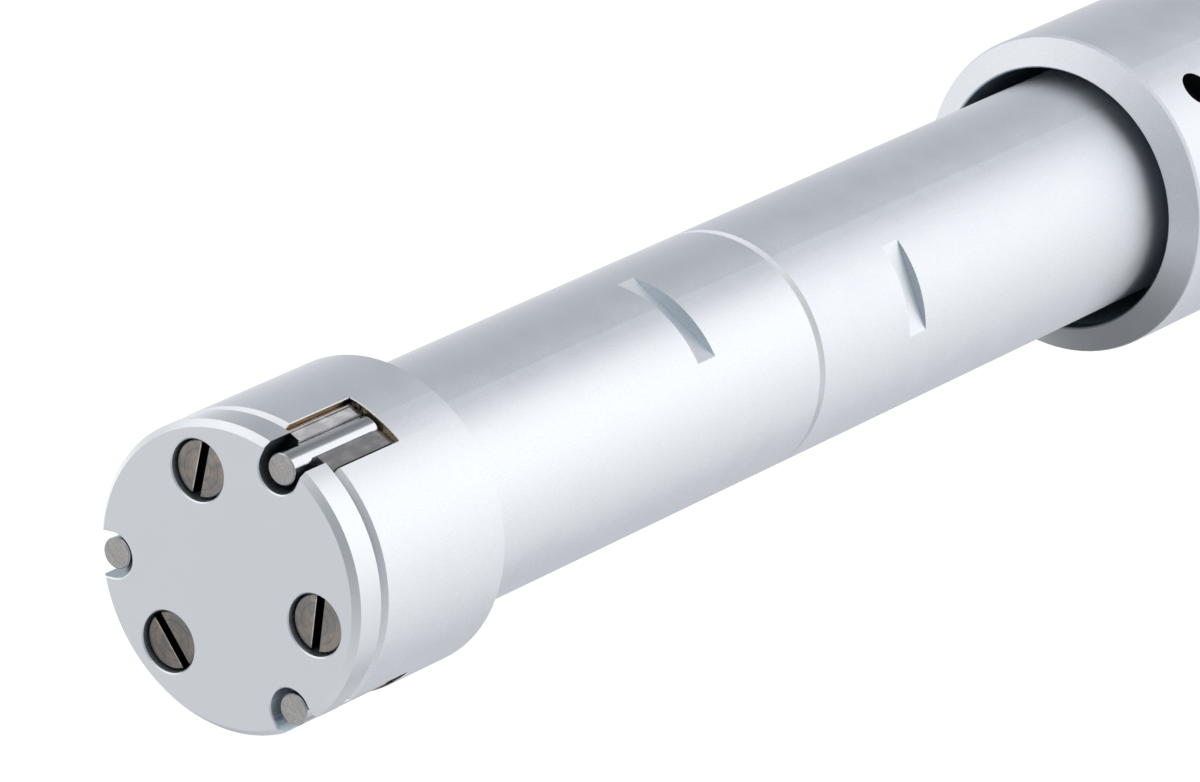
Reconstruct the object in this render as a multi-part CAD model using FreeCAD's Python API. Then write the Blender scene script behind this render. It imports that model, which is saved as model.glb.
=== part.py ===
import FreeCAD, Part
import math
import os

# Three-point inside micrometer, 20 to 25 mm range, drawn fully retracted.
# It stands on the flat end of its ratchet knob: origin at the middle of that end, +Z towards the head.
# Lengths are in millimetres. A depth is measured along the axis from the front face of the head.
# Anvil 1 lies towards +X, and angles run anticlockwise as seen from the head's front.

# Measuring range and drive
anvil_count = 3
thread_pitch = 0.5
thimble_turns = 12
cone_rise = 0.5
head_diameter = 19.5
pin_setback = 0.15

# Clearances
slide_clearance = 0.03
bore_clearance = 0.03
joint_clearance = 0.02
groove_clearance = 0.05
cone_gap = 0.1
bore_floor_gap = 0.3

# End plate
edge_break = 0.08
plate_relief = 0.02
plate_thickness = 2.3
plate_chamfer = 0.4
plate_floor = 0.8
nose_gap = 0.2
notch_side_gap = 0.45
notch_floor_gap = 0.45

# End plate screws, with the direction of each slot
screw_circle_radius = 6.69
screw_angle_offset = 45.4
screw_head_diameter = 3.66
screw_head_height = 1.2
screw_head_sink = 0.4
screw_head_gap = 0.12
screw_edge_break = 0.1
screw_slot_width = 0.6
screw_slot_depth = 0.6
screw_slot_angles = [14.4, 64.4, 19.4]
screw_diameter = 2.0
screw_length = 3.4

# Head body
body_length = 12.1
body_chamfer = 0.7
body_rear_break = 0.15

# Anvil blocks and their pins
block_width = 4.0
block_length = 6.3
block_wide_bevel = 0.4
block_rear_bevel_length = 0.7
block_rear_bevel_drop = 0.3
block_inner_reach = 1.45
shoulder_drop = 0.08
pin_mouth_width = 1.48
pin_diameter = 2.0
pin_edge_break = 0.075
pin_length = 8.0
pin_recess = 0.36
foot_neck_width = 1.4
foot_head_width = 2.4
foot_neck_height = 0.8
foot_head_height = 0.8
foot_end_gap = 0.3

# Measuring cone
nose_flat_radius = 2.6
nose_land = 0.35
guide_diameter = 13.0
cone_length = 13.0
cone_rear_gap = 3.5

# Push rod, ball and return spring
rod_diameter = 6.0
rod_stub_diameter = 4.0
rod_stub_length = 4.5
web_thickness = 3.0
return_spring_wire = 0.7
return_spring_diameter = 8.4
return_spring_turns = 6
flange_diameter = 9.8
flange_thickness = 2.0
rod_tail_length = 5.0
ball_diameter = 3.0
ball_standout = 0.5
ball_ahead_of_seam = 1.8

# Neck tube
tube_diameter = 15.8
neck_length = 35.4
neck_socket_diameter = 15.0
neck_socket_depth = 3.4
neck_bore_diameter = 10.4
coupling_diameter = 13.2
coupling_length = 7.2
seam_chamfer = 0.3
neck_flat_across = 14.0
neck_flat_length = 1.8
neck_flat_to_seam = 10.0
neck_flat_angle = -4.4

# Stem tube and its bush
stem_exposed_length = 38.0
stem_bore_diameter = 9.2
stem_spigot_diameter = 14.0
stem_spigot_length = 8.5
stem_flat_across = 14.6
stem_flat_length = 1.8
stem_flat_from_seam = 9.6
stem_flat_angle = -40.6
bush_length = 8.0

# Graduated sleeve
sleeve_diameter = 21.7
sleeve_bore_diameter = 17.8
sleeve_length = 44.0
sleeve_bevel = 1.1
sleeve_lip = 0.12
sleeve_gap_depth = 9.2
wrench_hole_diameter = 2.4
wrench_hole_depth = 1.3
wrench_hole_from_front = 5.3
wrench_hole_angle = -17.0

# Barrel and adjusting nut
barrel_length = 55.0
barrel_bore_diameter = 8.8
barrel_step_gap = 1.2
barrel_socket_gap = 0.5
split_end_diameter = 13.0
split_width = 0.8
split_length = 10.0
nut_thread_length = 18.0
adjusting_nut_diameter = 17.0
adjusting_nut_width = 5.0
adjusting_nut_from_end = 3.0
adjusting_nut_slot = 2.0

# Spindle and its tip
spindle_rod_diameter = 5.5
spindle_thread_diameter = 8.0
tip_diameter = 3.2
tip_length = 3.0
tip_standout = 0.5
taper_end_diameter = 6.8
rear_thread_diameter = 6.0
stub_diameter = 4.4

# Thimble and its nut
thimble_wall = 1.79
thimble_overlap = 10.0
thimble_bevel_length = 7.0
thimble_edge_wall = 0.25
thimble_rear_gap = 3.0
thimble_end_wall = 6.0
thimble_rear_chamfer = 1.2
thimble_groove_depth = 0.3
thimble_groove_width = 0.8
thimble_grip_length = 20.0
thimble_grip_flutes = 45
thimble_flute_depth = 0.3
thimble_nut_diameter = 12.0
thimble_nut_width = 2.2

# Ratchet stop
knob_diameter = 19.8
knob_gap = 0.4
knob_chamfer = 0.6
knob_flutes = 30
knob_flute_depth = 0.4
knob_flute_margin = 2.2
knob_floor = 2.4
knob_head_sink = 0.6
wheel_diameter = 13.0
wheel_thickness = 2.0
wheel_nut_gap = 0.3
tooth_count = 12
tooth_height = 0.6
tooth_root_diameter = 7.0
tooth_gap = 0.1
disc_thickness = 2.2
disc_key_width = 2.0
disc_key_reach = 1.2
ratchet_spring_length = 5.0
ratchet_spring_wire = 0.6
ratchet_spring_diameter = 6.8
ratchet_spring_turns = 3
ratchet_screw_diameter = 2.5
ratchet_screw_length = 8.0
shoulder_diameter = 4.0
ratchet_head_diameter = 6.4
ratchet_head_height = 2.0
ratchet_head_gap = 0.2
ratchet_slot_width = 1.0
ratchet_slot_depth = 0.9

# Radii and travel that follow from the sizes above
head_radius = head_diameter / 2
plate_radius = head_radius - plate_relief
pin_radius = pin_diameter / 2
pin_centre = head_radius - pin_setback - pin_radius
tube_radius = tube_diameter / 2
sleeve_radius = sleeve_diameter / 2
thimble_bore = sleeve_radius + slide_clearance + bore_clearance
thimble_radius = thimble_bore + thimble_wall
knob_radius = knob_diameter / 2
travel = thread_pitch * thimble_turns

# Depths down the axis, each worked out from what it rests on
body_front = plate_thickness
body_rear = body_front + body_length
block_front = body_front + slide_clearance
block_rear = block_front + block_length
slot_end = block_rear + slide_clearance
screw_seat = screw_head_sink + screw_head_height
screw_tip = screw_seat + screw_length
screw_hole_end = screw_tip + joint_clearance
bore_step = screw_hole_end + bore_floor_gap
nose_reach = plate_floor + nose_gap
nose_depth = nose_reach + travel
cone_rear = nose_depth + cone_length
web_front = cone_rear + cone_rear_gap
web_rear = web_front + web_thickness
seam = body_rear + neck_length
ball_rear = seam - ball_ahead_of_seam
rod_rear = ball_rear - ball_standout
flange_rear = rod_rear - rod_tail_length
flange_front = flange_rear - flange_thickness
coupling_rear = seam + coupling_length
sleeve_front = seam + stem_exposed_length
sleeve_rear = sleeve_front + sleeve_length
barrel_front = sleeve_front + sleeve_gap_depth
barrel_rear = barrel_front + barrel_length
barrel_step = sleeve_rear + barrel_step_gap
nut_thread_front = barrel_rear - nut_thread_length
stem_rear = barrel_front + stem_spigot_length
thimble_front = sleeve_rear - thimble_overlap
cavity_rear = barrel_rear + travel + thimble_rear_gap
thimble_rear = cavity_rear + thimble_end_wall
thimble_nut_rear = thimble_rear + thimble_nut_width
wheel_front = thimble_nut_rear + wheel_nut_gap
wheel_root = wheel_front + wheel_thickness
disc_root = wheel_root + 2 * tooth_height + tooth_gap
disc_rear = disc_root + disc_thickness
knob_front = thimble_rear + knob_gap
knob_seat = disc_rear + ratchet_spring_length
knob_head_seat = knob_seat + knob_floor
overall_height = knob_head_seat + ratchet_head_height + knob_head_sink


def point(x, y, depth):
    """Point of the part from two cross coordinates and a depth behind the head's front face."""
    return FreeCAD.Vector(x, y, overall_height - depth)


def turned(profile):
    """Solid of revolution about the axis from a closed outline of (radius, depth) points."""
    corners = [point(radius, 0, depth) for radius, depth in profile]
    outline = Part.makePolygon(corners + corners[:1])
    return Part.Face(outline).revolve(FreeCAD.Vector(0, 0, 0), FreeCAD.Vector(0, 0, 1), 360)


def rod(radius, front, rear, x=0, y=0):
    """Round rod parallel to the axis between two depths."""
    return Part.makeCylinder(radius, rear - front, point(x, y, rear))


def block(x_low, x_high, width, front, rear):
    """Box between two depths, centred on the XZ plane."""
    size = (x_high - x_low, width, rear - front)
    return Part.makeBox(*size, point(x_low, -width / 2, rear))


def prism(profile, width):
    """Side outline of (x, depth) points drawn out evenly to both sides of the XZ plane."""
    corners = [point(x, -width / 2, depth) for x, depth in profile]
    outline = Part.makePolygon(corners + corners[:1])
    return Part.Face(outline).extrude(FreeCAD.Vector(0, width, 0))


def swung(shape, angle):
    """Copy of a shape turned about the axis."""
    copy = shape.copy()
    copy.rotate(FreeCAD.Vector(0, 0, 0), FreeCAD.Vector(0, 0, 1), angle)
    return copy


def ring_of(shape, count, start=0):
    """Copies of a shape, evenly spaced about the axis."""
    return [swung(shape, start + index * 360 / count) for index in range(count)]


def coil(mean_diameter, wire, turns, front, rear):
    """Compression spring between two depths, its round wire drawn with six sides."""
    radius = mean_diameter / 2
    rise = rear - front - wire - 2 * joint_clearance
    path = Part.makeHelix(rise / turns, rise, radius)
    sides = 6
    corners = []
    for side in range(sides):
        turn = 2 * math.pi * (side + 0.5) / sides
        corners.append(FreeCAD.Vector(radius + wire / 2 * math.cos(turn), 0, wire / 2 * math.sin(turn)))
    section = Part.makePolygon(corners + corners[:1])
    spring = Part.Wire(path.Edges).makePipeShell([section], True, True)
    spring.translate(point(0, 0, rear - wire / 2 - joint_clearance))
    return spring


def trough(x_low, x_high, half_width):
    """Bar with sloping sides that breaks the front edges of a groove along X."""
    corners = [
        point(x_low, -half_width - edge_break, 0),
        point(x_low, half_width + edge_break, 0),
        point(x_low, half_width, edge_break),
        point(x_low, -half_width, edge_break),
    ]
    outline = Part.makePolygon(corners + corners[:1])
    return Part.Face(outline).extrude(FreeCAD.Vector(x_high - x_low, 0, 0))


def countersink(radius, x):
    """Cone that breaks the front edge of a round hole in the plate."""
    return Part.makeCone(radius, radius + edge_break, edge_break, point(x, 0, edge_break))


def flats(radius, across, front, rear, angle):
    """The two pieces that a pair of narrow spanner flats takes off a round tube."""
    side = block(across / 2, radius + across, 2 * radius, front, rear)
    return ring_of(side, 2, angle)


def tee(face_x, face_depth, neck_width, head_width, neck_drop, head_drop, cover, front, rear):
    """Undercut bar below an inclined face, with its top raised above the face by cover."""
    start_x = face_x + (front - face_depth) * cone_rise
    half_neck = neck_width / 2
    half_head = head_width / 2
    side = [
        (start_x + cover, half_neck),
        (start_x - neck_drop, half_neck),
        (start_x - neck_drop, half_head),
        (start_x - head_drop, half_head),
    ]
    mirrored = [(x, -y) for x, y in reversed(side)]
    corners = [point(x, y, front) for x, y in side + mirrored]
    outline = Part.makePolygon(corners + corners[:1])
    run = rear - front
    return Part.Face(outline).extrude(FreeCAD.Vector(run * cone_rise, 0, -run))


def flutes(radius, depth, count, front, rear):
    """Straight V flutes that a knurling wheel presses into a round grip, as deep as half their width."""
    corners = [
        point(radius - depth, 0, rear),
        point(radius + depth, 2 * depth, rear),
        point(radius + depth, -2 * depth, rear),
    ]
    outline = Part.makePolygon(corners + corners[:1])
    return ring_of(Part.Face(outline).extrude(FreeCAD.Vector(0, 0, rear - front)), count)


def ratchet_teeth(root, sense):
    """Saw teeth on the rear (sense 1) or front (sense -1) face of a disc whose face is at root."""
    step = 2 * math.pi / tooth_count
    sink = -sense * tooth_height / 2
    crest = sense * tooth_height
    teeth = []
    for index in range(tooth_count):
        wires = []
        for radius in (tooth_root_diameter / 2, wheel_diameter / 2 - joint_clearance):
            low = index * step
            high = low + step
            foot = (radius * math.cos(low), radius * math.sin(low))
            heel = (radius * math.cos(high), radius * math.sin(high))
            tip = heel if sense > 0 else foot
            corners = [
                point(*foot, root + sink),
                point(*heel, root + sink),
                point(*heel, root + (crest if tip is heel else 0)),
                point(*foot, root + (crest if tip is foot else 0)),
            ]
            wires.append(Part.makePolygon(corners + corners[:1]))
        teeth.append(Part.makeLoft(wires, True, True))
    return teeth


def make_end_plate():
    """Front cover with notches for the pins, counterbored screw holes and a hollow for the cone."""
    plate = turned([
        (0, 0),
        (plate_radius - plate_chamfer, 0),
        (plate_radius, plate_chamfer),
        (plate_radius, plate_thickness),
        (0, plate_thickness),
    ])
    nose_radius = nose_flat_radius + nose_land + nose_gap
    mouth_radius = nose_radius + (plate_thickness - nose_reach) * cone_rise
    hollow = rod(mouth_radius, plate_floor, plate_thickness)
    notch_radius = pin_radius + notch_side_gap
    notch_centre = pin_centre - pin_radius - notch_floor_gap + notch_radius
    notch = rod(notch_radius, 0, plate_thickness, notch_centre)
    notch = notch.fuse(block(notch_centre, head_diameter, 2 * notch_radius, 0, plate_thickness))
    notch_edge = trough(notch_centre, head_diameter, notch_radius)
    seat_radius = screw_head_diameter / 2 + screw_head_gap
    seat = rod(seat_radius, 0, screw_seat, screw_circle_radius)
    hole = rod(screw_diameter / 2 + joint_clearance, screw_seat, plate_thickness, screw_circle_radius)
    cuts = [hollow]
    cuts += ring_of(notch, anvil_count)
    cuts += ring_of(notch_edge.fuse(countersink(notch_radius, notch_centre)), anvil_count)
    cuts += ring_of(seat.fuse(hole), anvil_count, screw_angle_offset)
    cuts += ring_of(countersink(seat_radius, screw_circle_radius), anvil_count, screw_angle_offset)
    return plate.cut(cuts)


def make_end_plate_screws():
    """Slotted cheese-head screws, each with its slot left as the screwdriver left it."""
    head_radius_here = screw_head_diameter / 2
    shank_radius = screw_diameter / 2
    profile = [
        (0, screw_head_sink),
        (head_radius_here - screw_edge_break, screw_head_sink),
        (head_radius_here, screw_head_sink + screw_edge_break),
        (head_radius_here, screw_seat),
        (shank_radius, screw_seat),
        (shank_radius, screw_tip),
        (0, screw_tip),
    ]
    slot_floor = screw_head_sink + screw_slot_depth
    slot = block(-screw_head_diameter, screw_head_diameter, screw_slot_width, 0, slot_floor)
    screws = []
    for index, slot_angle in enumerate(screw_slot_angles):
        place = math.radians(screw_angle_offset + index * 360 / anvil_count)
        screw = turned(profile).cut(swung(slot, slot_angle))
        x = screw_circle_radius * math.cos(place)
        y = screw_circle_radius * math.sin(place)
        screw.translate(FreeCAD.Vector(x, y, 0))
        screws.append(screw)
    return Part.makeCompound(screws)


guide_bore = guide_diameter / 2 + bore_clearance
cone_radius_at_step = nose_flat_radius + nose_land + (bore_step - nose_reach) * cone_rise
front_bore = cone_radius_at_step + cone_gap
socket_front = body_rear - neck_socket_depth


def make_head_body():
    """Short cylinder with a slot for each anvil, bored through for the cone."""
    outer = turned([
        (0, body_front),
        (head_radius - body_chamfer, body_front),
        (head_radius, body_front + body_chamfer),
        (head_radius, body_rear - body_rear_break),
        (head_radius - body_rear_break, body_rear),
        (0, body_rear),
    ])
    half_slot = block_width / 2 + slide_clearance
    slot = block(0, head_diameter, 2 * half_slot, body_front, slot_end)
    break_start = math.sqrt(head_radius ** 2 - (half_slot + edge_break) ** 2) - edge_break
    half_flare = half_slot + head_diameter - break_start
    flare = [
        point(break_start, half_slot, slot_end),
        point(head_diameter, half_flare, slot_end),
        point(head_diameter, -half_flare, slot_end),
        point(break_start, -half_slot, slot_end),
    ]
    side_breaks = Part.Face(Part.makePolygon(flare + flare[:1]))
    side_breaks = side_breaks.extrude(FreeCAD.Vector(0, 0, slot_end - body_front))
    break_end = slot_end + 2 * edge_break
    end_break = turned([
        (head_radius - edge_break, slot_end),
        (head_radius + edge_break, slot_end),
        (head_radius + edge_break, break_end),
    ]).common(block(0, head_diameter, 2 * half_slot, slot_end, break_end))
    screw_hole = rod(screw_diameter / 2 + joint_clearance, body_front, screw_hole_end, screw_circle_radius)
    cuts = [
        rod(front_bore, body_front, bore_step),
        rod(guide_bore, bore_step, body_rear),
        rod(neck_socket_diameter / 2 + joint_clearance, socket_front, body_rear),
    ]
    for shape in (slot, side_breaks, end_break):
        cuts += ring_of(shape, anvil_count)
    cuts += ring_of(screw_hole, anvil_count, screw_angle_offset)
    return outer.cut(cuts)


def make_anvil_block():
    """Sliding block: shoulders bevelled along one side and the rear, a pin groove and an undercut foot."""
    top = pin_centre + pin_radius - shoulder_drop
    clearance = slide_clearance + slide_clearance * cone_rise

    def face_x(depth):
        return nose_flat_radius + (depth - nose_depth) * cone_rise + clearance

    knee = block_rear - (face_x(block_rear) - block_inner_reach) / cone_rise
    body = prism([
        (top, block_front),
        (top, block_rear - block_rear_bevel_length),
        (top - block_rear_bevel_drop, block_rear),
        (face_x(block_rear), block_rear),
        (block_inner_reach, knee),
        (block_inner_reach, block_front),
    ], block_width)
    half_block = block_width / 2
    corner = [
        point(top, half_block - block_wide_bevel, block_rear),
        point(top, half_block, block_rear),
        point(top - block_wide_bevel, half_block, block_rear),
    ]
    bevel = Part.Face(Part.makePolygon(corner + corner[:1])).extrude(FreeCAD.Vector(0, 0, block_length))
    foot = tee(
        face_x(block_rear), block_rear, foot_neck_width, foot_head_width,
        foot_neck_height, foot_neck_height + foot_head_height, foot_neck_height,
        nose_depth, block_rear,
    )
    seat = rod(pin_radius + joint_clearance, block_front, block_rear, pin_centre)
    mouth = block(pin_centre, head_diameter, pin_mouth_width, block_front, block_rear)
    return body.fuse(foot).cut([bevel, seat, mouth]).removeSplitter()


def make_measuring_pin():
    """Ground hard-metal pin with a lightly broken front edge."""
    pin_rear = pin_recess + pin_length
    pin = turned([
        (0, pin_recess),
        (pin_radius - pin_edge_break, pin_recess),
        (pin_radius, pin_recess + pin_edge_break),
        (pin_radius, pin_rear),
        (0, pin_rear),
    ])
    pin.translate(FreeCAD.Vector(pin_centre, 0, 0))
    return pin


def make_measuring_cone():
    """Taper with a flat and an undercut groove for each anvil, a guide skirt and a tapped rear."""
    nose_radius = nose_flat_radius + nose_land
    guide_radius = guide_diameter / 2
    taper_length = (guide_radius - nose_radius) / cone_rise
    cone = turned([
        (0, nose_depth),
        (nose_radius, nose_depth),
        (guide_radius, nose_depth + taper_length),
        (guide_radius, cone_rear),
        (0, cone_rear),
    ])
    flat_end = nose_depth + (guide_diameter - nose_flat_radius) / cone_rise
    flat = prism([
        (nose_flat_radius, nose_depth),
        (guide_diameter, flat_end),
        (guide_diameter, nose_depth),
    ], 2 * guide_diameter)
    groove_rear = block_rear + travel + foot_end_gap
    lead_in = 1.0
    groove = tee(
        nose_flat_radius, nose_depth,
        foot_neck_width + 2 * groove_clearance,
        foot_head_width + 2 * groove_clearance,
        foot_neck_height - groove_clearance - slide_clearance,
        foot_neck_height + foot_head_height + groove_clearance,
        guide_radius, nose_depth - lead_in, groove_rear,
    )
    tapped = rod(rod_stub_diameter / 2 + joint_clearance, cone_rear - rod_stub_length, cone_rear)
    return cone.cut(ring_of(flat, anvil_count) + ring_of(groove, anvil_count) + [tapped])


def make_push_rod():
    """Rod screwed into the cone, with the flange that the return spring bears on."""
    rod_radius = rod_diameter / 2
    stub_radius = rod_stub_diameter / 2
    flange_radius = flange_diameter / 2
    stub_front = cone_rear - rod_stub_length + joint_clearance
    body = turned([
        (0, stub_front),
        (stub_radius, stub_front),
        (stub_radius, cone_rear),
        (rod_radius, cone_rear),
        (rod_radius, flange_front),
        (flange_radius, flange_front),
        (flange_radius, flange_rear),
        (rod_radius, flange_rear),
        (rod_radius, rod_rear),
        (0, rod_rear),
    ])
    ball_front = ball_rear - ball_diameter
    return body.cut(rod(ball_diameter / 2 + joint_clearance, ball_front, rod_rear))


def make_thrust_ball():
    """Hard ball let into the end of the push rod."""
    ball_radius = ball_diameter / 2
    return Part.makeSphere(ball_radius, point(0, 0, ball_rear - ball_radius))


def make_neck_tube():
    """Neck between head and seam: spigots at both ends, a guide web and spanner flats."""
    front = socket_front + joint_clearance
    spigot_radius = neck_socket_diameter / 2
    bore_radius = neck_bore_diameter / 2
    coupling_radius = coupling_diameter / 2
    web_radius = rod_diameter / 2 + bore_clearance
    tube = turned([
        (guide_bore, front),
        (spigot_radius, front),
        (spigot_radius, body_rear),
        (tube_radius, body_rear),
        (tube_radius, seam - seam_chamfer),
        (tube_radius - seam_chamfer, seam),
        (coupling_radius, seam),
        (coupling_radius, coupling_rear),
        (bore_radius, coupling_rear),
        (bore_radius, web_rear),
        (web_radius, web_rear),
        (web_radius, web_front),
        (guide_bore, web_front),
    ])
    flat_rear = seam - neck_flat_to_seam
    flat_front = flat_rear - neck_flat_length
    return tube.cut(flats(tube_radius, neck_flat_across, flat_front, flat_rear, neck_flat_angle))


def make_stem_tube():
    """Stem between seam and barrel, with a socket in front and a spigot behind."""
    bore_radius = stem_bore_diameter / 2
    socket_radius = coupling_diameter / 2 + joint_clearance
    spigot_radius = stem_spigot_diameter / 2
    socket_rear = coupling_rear + joint_clearance
    tube = turned([
        (socket_radius, seam),
        (tube_radius - seam_chamfer, seam),
        (tube_radius, seam + seam_chamfer),
        (tube_radius, barrel_front),
        (spigot_radius, barrel_front),
        (spigot_radius, stem_rear),
        (bore_radius, stem_rear),
        (bore_radius, socket_rear),
        (socket_radius, socket_rear),
    ])
    flat_front = seam + stem_flat_from_seam
    flat_rear = flat_front + stem_flat_length
    return tube.cut(flats(tube_radius, stem_flat_across, flat_front, flat_rear, stem_flat_angle))


def make_stem_bush():
    """Plain bush that guides the front of the spindle."""
    outer = stem_bore_diameter / 2 - joint_clearance
    inner = spindle_rod_diameter / 2 + bore_clearance
    front = coupling_rear + joint_clearance
    return turned([(inner, front), (outer, front), (outer, front + bush_length), (inner, front + bush_length)])


def make_graduated_sleeve():
    """Outer sleeve with a shallow conical front and a blind hole for a hook spanner."""
    bore_radius = sleeve_bore_diameter / 2
    sleeve = turned([
        (bore_radius, sleeve_front + sleeve_lip),
        (bore_radius + sleeve_lip, sleeve_front),
        (sleeve_radius - sleeve_lip, sleeve_front + sleeve_bevel - sleeve_lip),
        (sleeve_radius, sleeve_front + sleeve_bevel + sleeve_lip),
        (sleeve_radius, sleeve_rear),
        (bore_radius, sleeve_rear),
    ])
    floor_radius = sleeve_radius - wrench_hole_depth
    hole_depth = sleeve_front + wrench_hole_from_front
    hole = Part.makeCylinder(
        wrench_hole_diameter / 2, sleeve_radius, point(floor_radius, 0, hole_depth), FreeCAD.Vector(1, 0, 0))
    return sleeve.cut(swung(hole, wrench_hole_angle))


def make_barrel():
    """Inner sleeve: socket for the stem, clear bore, and the spindle's thread in a split end."""
    outer = sleeve_bore_diameter / 2 - joint_clearance
    socket_radius = stem_spigot_diameter / 2 + joint_clearance
    socket_rear = stem_rear + barrel_socket_gap
    bore_radius = barrel_bore_diameter / 2
    thread_radius = spindle_thread_diameter / 2 + bore_clearance
    split_radius = split_end_diameter / 2
    barrel = turned([
        (socket_radius, barrel_front),
        (outer, barrel_front),
        (outer, barrel_step),
        (split_radius, barrel_step),
        (split_radius, barrel_rear),
        (thread_radius, barrel_rear),
        (thread_radius, nut_thread_front),
        (bore_radius, nut_thread_front),
        (bore_radius, socket_rear),
        (socket_radius, socket_rear),
    ])
    split = block(-split_end_diameter, split_end_diameter, split_width, barrel_rear - split_length, barrel_rear)
    return barrel.cut(ring_of(split, 4)[:2])


def make_adjusting_nut():
    """Round nut that closes the split end on the spindle's thread."""
    inner = split_end_diameter / 2 + joint_clearance
    outer = adjusting_nut_diameter / 2
    rear = barrel_rear - adjusting_nut_from_end
    front = rear - adjusting_nut_width
    nut = turned([(inner, front), (outer, front), (outer, rear), (inner, rear)])
    depth = (outer - inner) / 2
    slot = block(outer - depth, outer + depth, adjusting_nut_slot, front, rear)
    return nut.cut(ring_of(slot, 4))


def make_spindle():
    """Spindle in one piece: plain rod, thread, taper for the thimble, rear thread and stub."""
    tip_hole = tip_diameter / 2 + joint_clearance
    rod_radius = spindle_rod_diameter / 2
    thread_radius = spindle_thread_diameter / 2
    front = ball_rear + bore_clearance + tip_standout
    screw_hole = ratchet_screw_diameter / 2 + joint_clearance
    hole_front = wheel_root - ratchet_screw_length - joint_clearance
    return turned([
        (0, front + tip_length - tip_standout + joint_clearance),
        (tip_hole, front + tip_length - tip_standout + joint_clearance),
        (tip_hole, front),
        (rod_radius, front),
        (rod_radius, nut_thread_front),
        (thread_radius, nut_thread_front),
        (thread_radius, cavity_rear),
        (taper_end_diameter / 2, thimble_rear),
        (rear_thread_diameter / 2, thimble_rear),
        (rear_thread_diameter / 2, thimble_nut_rear),
        (stub_diameter / 2, thimble_nut_rear),
        (stub_diameter / 2, wheel_root),
        (screw_hole, wheel_root),
        (screw_hole, hole_front),
        (0, hole_front),
    ])


def make_spindle_tip():
    """Hard flat tip that bears on the push rod's ball."""
    front = ball_rear + bore_clearance
    return rod(tip_diameter / 2, front, front + tip_length)


def make_thimble():
    """Turned cup over the sleeve: bevelled reading edge, fluted grip band and a tapered seat."""
    edge_radius = thimble_bore + thimble_edge_wall
    bevel_rear = thimble_front + thimble_bevel_length
    grip_rear = thimble_rear - thimble_rear_chamfer - 2 * thimble_groove_width
    grip_front = grip_rear - thimble_grip_length
    groove_radius = thimble_radius - thimble_groove_depth
    seat_front = spindle_thread_diameter / 2 + joint_clearance
    seat_rear = taper_end_diameter / 2 + joint_clearance
    outline = [
        (thimble_bore, thimble_front),
        (edge_radius, thimble_front),
        (thimble_radius, bevel_rear),
    ]
    for groove_front in (grip_front - thimble_groove_width, grip_rear):
        groove_rear = groove_front + thimble_groove_width
        outline += [
            (thimble_radius, groove_front),
            (groove_radius, groove_front),
            (groove_radius, groove_rear),
            (thimble_radius, groove_rear),
        ]
    outline += [
        (thimble_radius, thimble_rear - thimble_rear_chamfer),
        (thimble_radius - thimble_rear_chamfer, thimble_rear),
        (seat_rear, thimble_rear),
        (seat_front, cavity_rear),
        (thimble_bore, cavity_rear),
    ]
    cuts = flutes(thimble_radius, thimble_flute_depth, thimble_grip_flutes, grip_front, grip_rear)
    return turned(outline).cut(cuts)


def make_thimble_nut():
    """Round nut that clamps the thimble on the spindle's taper."""
    inner = rear_thread_diameter / 2 + joint_clearance
    outer = thimble_nut_diameter / 2
    nut = turned([
        (inner, thimble_rear),
        (outer, thimble_rear),
        (outer, thimble_nut_rear),
        (inner, thimble_nut_rear),
    ])
    depth = (outer - inner) / 2
    slot = block(outer - depth, outer + depth, adjusting_nut_slot, thimble_rear, thimble_nut_rear)
    return nut.cut(ring_of(slot, 2))


def make_ratchet_wheel():
    """Toothed disc pressed on the spindle's stub."""
    inner = stub_diameter / 2 + joint_clearance
    outer = wheel_diameter / 2
    wheel = turned([(inner, wheel_front), (outer, wheel_front), (outer, wheel_root), (inner, wheel_root)])
    return wheel.fuse(ratchet_teeth(wheel_root, 1)).removeSplitter()


key_radius = wheel_diameter / 2 + disc_key_reach


def make_ratchet_disc():
    """Toothed disc that slides on the screw's shoulder, keyed to the knob by two lugs."""
    inner = shoulder_diameter / 2 + bore_clearance
    outer = wheel_diameter / 2
    disc = turned([(inner, disc_root), (outer, disc_root), (outer, disc_rear), (inner, disc_rear)])
    lug = block(outer - disc_key_reach, key_radius, disc_key_width, disc_root, disc_rear)
    disc = disc.fuse(ring_of(lug, 2))
    return disc.fuse(ratchet_teeth(disc_root, -1)).removeSplitter()


def make_ratchet_knob():
    """Fluted cup with a flat end, which the whole instrument stands on."""
    bore_radius = wheel_diameter / 2 + bore_clearance
    hole_radius = shoulder_diameter / 2 + bore_clearance
    head_seat_radius = ratchet_head_diameter / 2 + ratchet_head_gap
    knob = turned([
        (bore_radius, knob_front),
        (knob_radius - knob_chamfer, knob_front),
        (knob_radius, knob_front + knob_chamfer),
        (knob_radius, overall_height - knob_chamfer),
        (knob_radius - knob_chamfer, overall_height),
        (head_seat_radius, overall_height),
        (head_seat_radius, knob_head_seat),
        (hole_radius, knob_head_seat),
        (hole_radius, knob_seat),
        (bore_radius, knob_seat),
    ])
    keyway_width = disc_key_width + 2 * groove_clearance
    keyway = block(0, key_radius + groove_clearance, keyway_width, knob_front, knob_seat)
    flute_front = knob_front + knob_flute_margin
    flute_rear = overall_height - knob_flute_margin
    cuts = ring_of(keyway, 2)
    cuts += flutes(knob_radius, knob_flute_depth, knob_flutes, flute_front, flute_rear)
    return knob.cut(cuts)


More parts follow.
